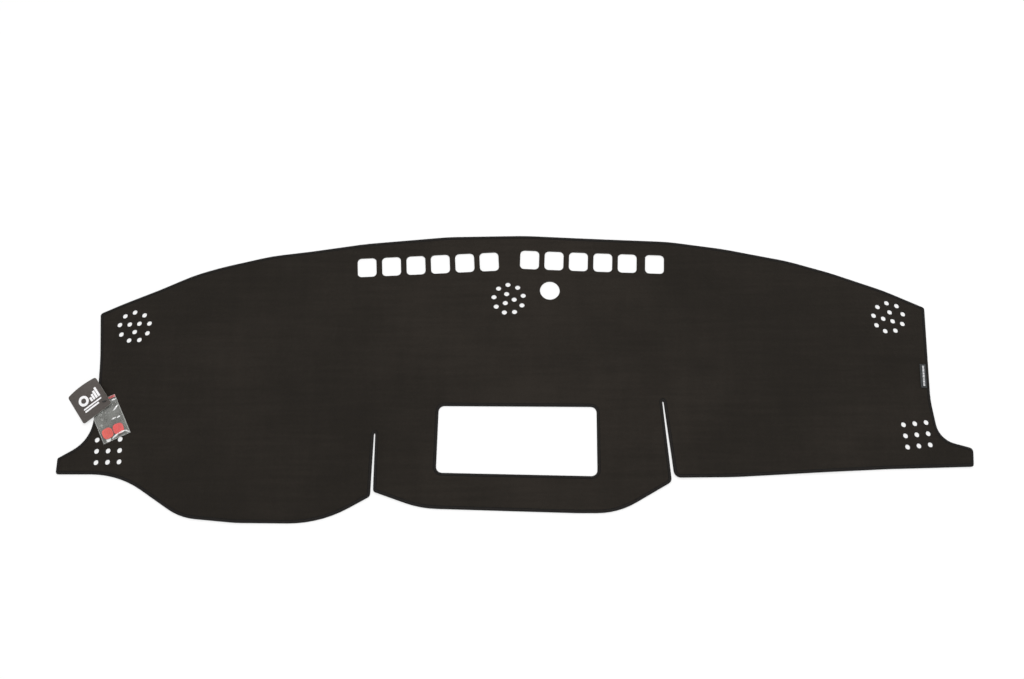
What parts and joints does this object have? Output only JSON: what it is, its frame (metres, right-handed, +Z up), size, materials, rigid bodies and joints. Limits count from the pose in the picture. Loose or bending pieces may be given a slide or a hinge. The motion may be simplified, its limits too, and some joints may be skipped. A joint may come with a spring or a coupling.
{
  "type": "dashboard cover mat",
  "caption": "Flat contoured dashboard cover mat with overlocked edges, a display window, vent and sensor cut-outs, speaker perforations, swing tag and a bag of fixing pads.",
  "frame": {"origin": "on the ground under the middle of the mat's bounding box", "axes": "+X along the mat towards its right wing, +Y towards its rear edge at the windscreen, +Z up out of the pile"},
  "size_m": [1.4106, 0.4654, 0.0157],
  "materials": {
    "pile": "short matt polyester pile on felt, warm charcoal",
    "thread": "textured polyester overlock thread, black",
    "woven": "dense woven damask tape, dark grey-green with a light stripe",
    "card": "coated printed card, dark warm grey",
    "pin": "black polypropylene",
    "film": "clear polyethylene film, creased and glossy",
    "hook": "black hook tape",
    "liner": "red release liner"
  },
  "bodies": {
    "root": {"mat_panel": "pile", "edge_overlock": "thread", "window_overlock": "thread", "side_label": "woven", "hang_tag": "card", "tag_pin": "pin", "pad_bag": "film", "fixing_pad_left": "hook", "fixing_pad_right": "hook", "pad_liner_left": "liner", "pad_liner_right": "liner"}
  },
  "joints": []
}
